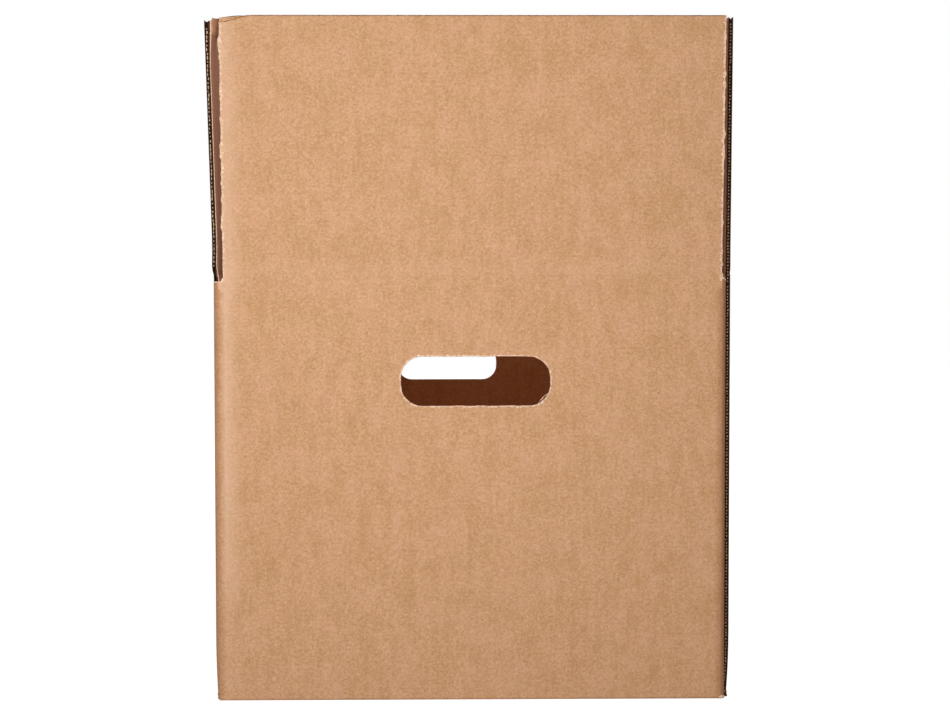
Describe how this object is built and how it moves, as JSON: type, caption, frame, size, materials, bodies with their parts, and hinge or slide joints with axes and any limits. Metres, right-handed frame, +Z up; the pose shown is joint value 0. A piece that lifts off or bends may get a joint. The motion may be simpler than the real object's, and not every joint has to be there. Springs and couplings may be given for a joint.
{
  "type": "shipping carton with hand holes",
  "caption": "Open-topped corrugated shipping carton with hand holes in its short ends, glued corner and bottom, and hinged top flaps that fold in to close or out to hang.",
  "frame": {"origin": "on the ground, under the middle of the base", "axes": "+Z up; -Y out of the short front wall, which has the glued corner at its right; +X to the right of that wall"},
  "size_m": [0.3167, 0.4, 0.4114],
  "materials": {
    "kraft_board": "matt unbleached kraft liner"
  },
  "bodies": {
    "carton": {"carton_body": "kraft_board"},
    "front_flap": {"front_flap": "kraft_board"},
    "back_flap": {"back_flap": "kraft_board"},
    "left_flap": {"left_flap": "kraft_board"},
    "right_flap": {"right_flap": "kraft_board"}
  },
  "joints": [
    {"name": "front_flap_fold", "type": "hinge", "parent": "carton", "child": "front_flap", "pos_m": [0, -0.1935, 0.254], "axis": [-1, 0, 0], "range_deg": [-167.2, 92.8]},
    {"name": "back_flap_fold", "type": "hinge", "parent": "carton", "child": "back_flap", "pos_m": [0, 0.1935, 0.254], "axis": [1, 0, 0], "range_deg": [-168, 92]},
    {"name": "left_flap_fold", "type": "hinge", "parent": "carton", "child": "left_flap", "pos_m": [-0.1555, 0, 0.2573], "axis": [0, 1, 0], "range_deg": [-168.3, 91.7]},
    {"name": "right_flap_fold", "type": "hinge", "parent": "carton", "child": "right_flap", "pos_m": [0.1555, 0, 0.2573], "axis": [0, -1, 0], "range_deg": [-169.6, 90.4]}
  ]
}
